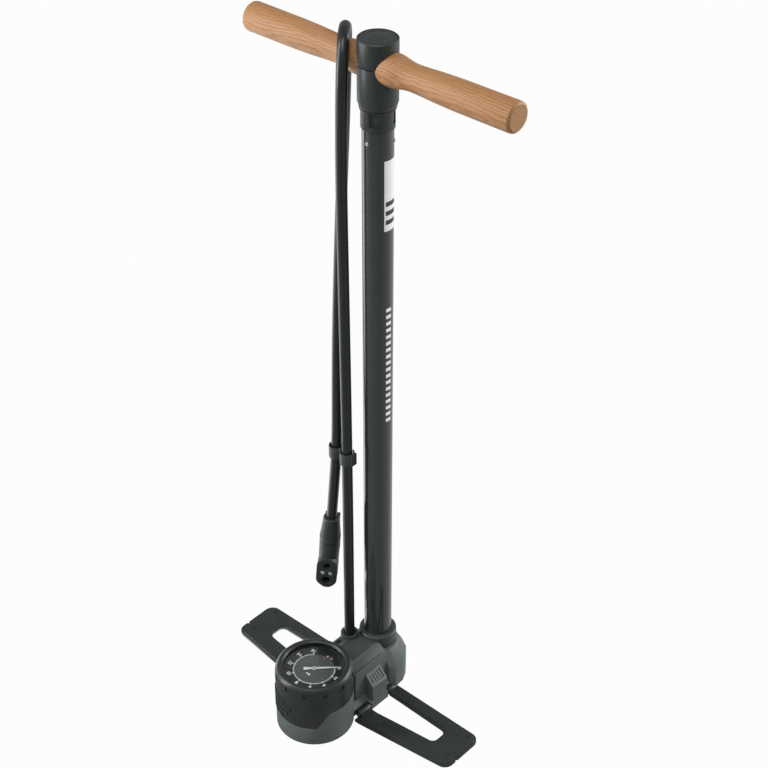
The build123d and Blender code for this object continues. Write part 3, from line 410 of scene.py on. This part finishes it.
def wrap(name, patches, centre, radius, thick=PRINT_THICK):
    """Thin patches round a vertical cylinder, each (from degrees, to degrees, bottom, top)."""
    bm = bmesh.new()
    for low, high, bottom, top in patches:
        steps = max(int((high - low) / STRIP_DEGREES), 1)
        section = ((radius, bottom), (radius + thick, bottom), (radius + thick, top), (radius, top))
        rows = []
        for k in range(steps + 1):
            a = radians(low + (high - low) * k / steps)
            rows.append([bm.verts.new(((centre[0] + cos(a) * r) * MM, (centre[1] + sin(a) * r) * MM, z * MM))
                         for r, z in section])
        for one, two in zip(rows, rows[1:]):
            for k in range(4):
                bm.faces.new((one[k], one[(k + 1) % 4], two[(k + 1) % 4], two[k]))
        bm.faces.new(rows[0])
        bm.faces.new(list(reversed(rows[-1])))
    bmesh.ops.recalc_face_normals(bm, faces=bm.faces)
    return from_bmesh(name, bm, sharp_angle=40.0)


# ---------------------------------------------------------------- hose
HOSE_R = 5.2
CHUCK_TILT = radians(5.5)
CHUCK_FOOT = Vector((-49.98, -23.0, 104.0))
CHUCK_AXIS = Vector((sin(CHUCK_TILT), 0, cos(CHUCK_TILT)))
CHUCK_LENGTH = 94.4
STRAIGHT_END = 40.2
TAIL_START = CHUCK_FOOT + CHUCK_AXIS * CHUCK_LENGTH
HOSE_POINTS = [
    (-17.0, -24.7, 47.1), (-16.9, -24.6, 180.0), (-17.4, -24.8, 320.0), (-19.0, -24.5, 460.0),
    (-20.4, -24.8, 600.0), (-17.2, -24.7, 711.0), (-54.2, 21.2, 711.0), (-49.2, 10.3, 608.0),
    (-45.2, -1.5, 500.0), (-39.4, -13.2, 390.0), (-30.8, -24.0, 297.0),
    tuple(TAIL_START + CHUCK_AXIS * STRAIGHT_END), tuple(TAIL_START),
]


def mesh_of(obj):
    """The mesh that a curve or text object makes; the object itself is deleted."""
    bpy.context.view_layer.update()
    mesh = bpy.data.meshes.new_from_object(obj.evaluated_get(bpy.context.evaluated_depsgraph_get()))
    bpy.data.objects.remove(obj)
    return mesh


line = bpy.data.curves.new("hose_line", "CURVE")
line.dimensions = "3D"
spline = line.splines.new("NURBS")
spline.points.add(len(HOSE_POINTS) - 1)
for point, place in zip(spline.points, HOSE_POINTS):
    point.co = tuple(v * MM for v in place) + (1.0,)
spline.order_u = 3
spline.use_endpoint_u = True
spline.resolution_u = 30
traced = mesh_of(new_object("hose_line", line))
hose_path = [v.co.copy() for v in traced.vertices]
bpy.data.meshes.remove(traced)
hose = tube("hose", hose_path, HOSE_R * MM)
hose.data.materials.append(MATERIALS["hose_rubber"])
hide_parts("hose_riser", "hose_loop", "hose_tail")
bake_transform(hose)

# ---------------------------------------------------------------- turned pieces
HANDLE_Z = 690.0
BARREL_R, BARREL_BORE_R = 14.0, 12.6
BARREL_BOTTOM, BARREL_TOP = 12.0, 633.0
handle_end = [(0.0, -147.5), (11.0, -147.5), (11.25, -147.1), (12.4, -146.5), (13.2, -145.7), (13.6, -144.0)]
handle_grip = [(13.5, -110.0), (13.4, -88.0), (13.0, -72.0), (12.5, -60.0), (11.95, -50.0), (11.7, -42.0),
               (11.95, -36.0), (12.85, -30.0), (14.25, -23.0), (14.6, -19.0)]
half_profile = handle_end + handle_grip
profile = half_profile + [(r, -x) for r, x in reversed(half_profile)]
handle = lathe("handle_look", profile, origin=(0, 0, HANDLE_Z), axis=(1, 0, 0), segments=128)
settle(handle, "plunger", "beech", replaced=("handle",))

barrel_wall = rounded([
    (BARREL_BORE_R, BARREL_BOTTOM, 0), (BARREL_R, BARREL_BOTTOM, 0), (BARREL_R, BARREL_TOP, 0.3),
    (BARREL_BORE_R, BARREL_TOP, 0.2), (BARREL_BORE_R, BARREL_BOTTOM, 0)])
barrel = lathe("barrel_look", [(p.x, p.y) for p in barrel_wall])
settle(barrel, "base", "painted_tube", replaced=("barrel",))

# ---------------------------------------------------------------- pieces with rounded edges
for name, width in (
    ("barrel_cap", 0.25), ("head_body", 0.35), ("head_cap", 0.5), ("head_badge", 0.2), ("base_casting", 0.7),
    ("base_cover", 0.9), ("gauge_sleeve", 0.3), ("gauge_bezel", 0.35), ("foot_right", 0.5),
    ("foot_left", 0.5), ("foot_right_catch", 0.35), ("foot_left_catch", 0.35), ("hose_clip", 0.35),
    ("chuck_body", 0.6), ("chuck_nut", 0.3), ("chuck_lever", 0.5), ("hose_grommet", 0.25),
    ("chuck_seals", 0.15), ("chuck_rivets", 0.1),
):
    refined(name, width, material=DOT_LIGHT if name == "chuck_rivets" else None)

# ---------------------------------------------------------------- prints on the barrel
PRINT_LIFT = 0.02
MARK_LIFT = 0.08
LABEL_PATCH = (-25, 60, 537.5, 606.0)


def stack(low, high, bottom, height, pitch, count):
    """Equal patches above each other, from the low to the high angle in degrees, for wrap."""
    return [(low, high, bottom + pitch * k, bottom + height + pitch * k) for k in range(count)]


label = wrap("label", [LABEL_PATCH], (0, 0), BARREL_R + PRINT_LIFT)
settle(label, "base", "painted_tube", PRINT_WHITE)
mark_patches = stack(-19, 30, bottom=544.0, height=4.5, pitch=9.0, count=3)
marks = wrap("label_marks", mark_patches, (0, 0), BARREL_R + MARK_LIFT)
settle(marks, "base", "painted_tube", PRINT_DARK)
dash_patches = stack(-16, 8, bottom=331.0, height=3.6, pitch=7.2, count=18)
dashes = wrap("dashes", dash_patches, (0, 0), BARREL_R + PRINT_LIFT)
settle(dashes, "base", "painted_tube", PRINT_WHITE)

# ---------------------------------------------------------------- dial face, ribs and head relief
POD = (0.0, -95.0)
DIAL_TOP = 67.4
DISC_R = 20.4
INK = 0.05
SCALE_RING = (20.35, 20.85)
MAJOR_TICK, MIDDLE_TICK, MINOR_TICK = (19.4, 22.6, 0.34), (20.0, 22.1, 0.16), (20.0, 21.6, 0.16)
DIVISIONS = 80
SCALE_START, SCALE_SWEEP = radians(45), radians(-270)
LIMIT_MARK = (20.8, 23.0)
LIMIT_DEGREES, LIMIT_HALF = 88, 0.9
LIMIT_EDGES, LIMIT_EDGE_HALF = (81, 95), 0.5
NUMERAL_R, NUMERAL_SIZE, NUMERALS = 25.4, 5.4, 9
UNIT_PLACE, UNIT_SIZE = (0.0, -9.0), 3.6
LETTER_LIFT, LETTER_HALF_THICK, LETTER_BOLD = 0.08, 0.02, 0.2
FACING_BARREL = Matrix(((-1, 0, 0), (0, -1, 0), (0, 0, 1)))


def flat(name, shapes, height, thick, material, centre=POD, body="base", slot_name="dial"):
    """Thin flat shapes on the dial or another level face from lists of (x, y) mm corners about its centre."""
    bm = bmesh.new()
    for corners in shapes:
        low, top = ([bm.verts.new(((centre[0] + x) * MM, (centre[1] + y) * MM, z * MM)) for x, y in corners]
                    for z in (height, height + thick))
        bm.faces.new(top)
        bm.faces.new(list(reversed(low)))
        for k in range(len(corners)):
            after = (k + 1) % len(corners)
            bm.faces.new((low[k], low[after], top[after], top[k]))
    bmesh.ops.recalc_face_normals(bm, faces=bm.faces)
    settle(from_bmesh(name, bm), body, slot_name, material)


def polar(radius, angle):
    """The (x, y) place at a radius and an angle."""
    return (radius * cos(angle), radius * sin(angle))


def bar(angle, inner, outer, half):
    """A radial bar's corners from its inner and outer radius and its half width."""
    along, across = Vector(polar(1.0, angle)), Vector((-sin(angle), cos(angle)))
    return [tuple(along * r + across * w)
            for r, w in ((inner, -half), (outer, -half), (outer, half), (inner, half))]


def sector(start, end, inner, outer):
    """The corners of a piece of a ring."""
    angles = [start, start + (end - start) / 2, end]
    return [polar(outer, a) for a in angles] + [polar(inner, a) for a in reversed(angles)]


def scale_angle(share):
    """The angle on the dial at a share of its scale."""
    return SCALE_START + SCALE_SWEEP * share


def tick(k):
    """The corners of one of the scale's ticks; every tenth is the longest and every fifth is longer."""
    size = MAJOR_TICK if k % 10 == 0 else MIDDLE_TICK if k % 5 == 0 else MINOR_TICK
    return bar(scale_angle(k / DIVISIONS), *size)


flat("dial_disc", [[polar(DISC_R, a) for a in around(96)]], DIAL_TOP, INK, DIAL_GREY)
ticks = [tick(k) for k in range(DIVISIONS + 1)]
ticks += [sector(scale_angle(k / DIVISIONS), scale_angle((k + 1) / DIVISIONS), *SCALE_RING)
          for k in range(DIVISIONS)]
flat("dial_ticks", ticks, DIAL_TOP + INK, INK, PRINT_WHITE)
flat("dial_mark", [bar(radians(LIMIT_DEGREES), *LIMIT_MARK, LIMIT_HALF)], DIAL_TOP + INK, INK, PRINT_RED)
flat("dial_mark_white", [bar(radians(a), *LIMIT_MARK, LIMIT_EDGE_HALF) for a in LIMIT_EDGES],
     DIAL_TOP + INK, INK, PRINT_WHITE)


def words(name, text, place, size):
    """Flat white lettering on the dial that reads upright from the barrel's side."""
    font = bpy.data.curves.new(name, "FONT")
    font.body = text
    font.size = size * MM
    font.align_x = "CENTER"
    font.align_y = "CENTER"
    font.extrude = LETTER_HALF_THICK * MM
    font.offset = LETTER_BOLD * MM
    mesh = mesh_of(new_object(name, font))
    mesh.name = name
    spot = Vector((POD[0] + place[0], POD[1] + place[1], DIAL_TOP + LETTER_LIFT)) * MM
    mesh.transform(Matrix.Translation(spot) @ FACING_BARREL.to_4x4())
    settle(new_object(name, mesh), "base", "dial", PRINT_WHITE)


for k in range(NUMERALS):
    words(f"numeral_{2 * k}", str(2 * k), polar(NUMERAL_R, scale_angle(k / (NUMERALS - 1))), NUMERAL_SIZE)
words("unit", "bar", UNIT_PLACE, UNIT_SIZE)

SLEEVE_R = 39.25
RIB_START, RIB_ENDS = -136, (-96, -84, -90, -102)
RIB_BOTTOM, RIB_HEIGHT, RIB_PITCH, RIB_DEPTH = 46.0, 3.5, -7.0, 0.8
rib_patches = [(RIB_START, end, RIB_BOTTOM + RIB_PITCH * k, RIB_BOTTOM + RIB_PITCH * k + RIB_HEIGHT)
               for k, end in enumerate(RIB_ENDS)]
ribs = wrap("sleeve_ribs", rib_patches, POD, SLEEVE_R, RIB_DEPTH)
settle(ribs, "base", slot_of["gauge_sleeve"], MATERIALS["gauge_plastic"])

RELIEF_RING = (12.6, 13.3)
RELIEF_PIECES = 48
RELIEF_BARS = ((-6.0, -6.5, 4.0), (-2.0, -8.5, 7.0), (2.0, -7.0, 8.5), (6.0, -4.0, 6.5))
RELIEF_HALF, RELIEF_SINK, RELIEF_THICK = 1.1, 0.02, 0.3
badge_top = max(v.co.z for v in nodes["head_badge"].data.vertices) / MM
relief = [sector(a, a + 2 * pi / RELIEF_PIECES, *RELIEF_RING) for a in around(RELIEF_PIECES)]
relief += [[(x - RELIEF_HALF, low), (x + RELIEF_HALF, low), (x + RELIEF_HALF, high), (x - RELIEF_HALF, high)]
           for x, low, high in RELIEF_BARS]
flat("head_relief", relief, badge_top - RELIEF_SINK, RELIEF_THICK, MATERIALS["badge"], (0.0, 0.0), "plunger",
     slot_of["head_badge"])

# ---------------------------------------------------------------- studio
FLOOR_HALF = 6
FLOOR_GREY = (0.22, 0.22, 0.22, 1)
FLOOR_GLOW = 2.4
AMBIENT = 0.36
GLOW_ROUND = ((-180, 0.8), (-150, 0.8), (-136, 0.05), (-110, 0.03), (-40, 0.06), (20, 0.1), (70, 0.2),
              (115, 0.18), (155, 0.18), (172, 0.5))


def white_to_camera(tree, add, shown, others, output):
    """Links one shader to what the camera sees and the other to everything else."""
    seen = add("ShaderNodeLightPath")
    choose = add("ShaderNodeMixShader", [(0, seen.outputs["Is Camera Ray"]), (1, others.outputs[0]),
                                         (2, shown.outputs[0])])
    tree.links.new(choose.outputs[0], tree.nodes[output].inputs["Surface"])


def studio_floor():
    """White to the camera; grey with a glow that depends on the direction round the pump to the rest."""
    material, tree, _, add = shader("floor")
    white = add("ShaderNodeEmission", in_Strength=1.0, in_Color=WHITE_VIEW)
    matte = add("ShaderNodeBsdfDiffuse", in_Color=FLOOR_GREY)
    spot = add("ShaderNodeNewGeometry")
    parts = add("ShaderNodeSeparateXYZ", [("Vector", spot.outputs["Position"])])
    angle = add("ShaderNodeMath", [(0, parts.outputs["Y"]), (1, parts.outputs["X"])], operation="ARCTAN2")
    share = add("ShaderNodeMapRange", [("Value", angle.outputs[0])], in_From_Min=-pi, in_From_Max=pi)
    glows = add("ShaderNodeValToRGB", [("Fac", share.outputs["Result"])])
    ramp(glows, *(((azimuth + 180.0) / 360.0, level) for azimuth, level in GLOW_ROUND))
    lit = add("ShaderNodeEmission", [("Color", glows.outputs["Color"])], in_Strength=FLOOR_GLOW)
    glowing = add("ShaderNodeAddShader", [(0, matte.outputs[0]), (1, lit.outputs[0])])
    white_to_camera(tree, add, white, glowing, "Material Output")
    return material


floor_mesh = bpy.data.meshes.new("floor")
floor_mesh.from_pydata([(x * FLOOR_HALF, y * FLOOR_HALF, 0) for x, y in ((-1, -1), (1, -1), (1, 1), (-1, 1))],
                       [], [(0, 1, 2, 3)])
floor_mesh.materials.append(studio_floor())
floor = new_object("floor", floor_mesh)

world = bpy.data.worlds.new("world")
scene.world = world
world.use_nodes = True
add_to_world = adder(world.node_tree)
ambient = world.node_tree.nodes["Background"]
ambient.inputs["Color"].default_value = (1, 1, 1, 1)
ambient.inputs["Strength"].default_value = AMBIENT
backdrop = add_to_world("ShaderNodeBackground", in_Color=WHITE_VIEW, in_Strength=1.0)
white_to_camera(world.node_tree, add_to_world, backdrop, ambient, "World Output")


def lamp(name, place, aim, width, power, height=None):
    """A soft rectangular light aimed at a point."""
    data = bpy.data.lights.new(name, "AREA")
    data.shape = "RECTANGLE"
    data.size = width
    data.size_y = height or width
    data.energy = power
    obj = new_object(name, data)
    obj.location = place
    obj.rotation_mode = "QUATERNION"
    obj.rotation_quaternion = (Vector(aim) - Vector(place)).to_track_quat("-Z", "Y")


lamp("key", (0.5, -0.9, 2.5), (0, 0, 0.4), width=1.2, power=17.0)
lamp("strip", (-1.3, -1.4, 0.9), (0, 0, 0.4), width=0.35, height=2.2, power=37.0)
lamp("fill", (1.1, 1.8, 0.9), (0, 0, 0.2), width=1.2, power=34.0)

scene.render.engine = "CYCLES"
scene.cycles.samples = 192
scene.cycles.use_denoising = True
scene.cycles.seed = 3
scene.render.resolution_x = scene.render.resolution_y = 768
scene.view_settings.view_transform = "Standard"
scene.view_settings.look = "None"
scene.view_settings.exposure = 0.0
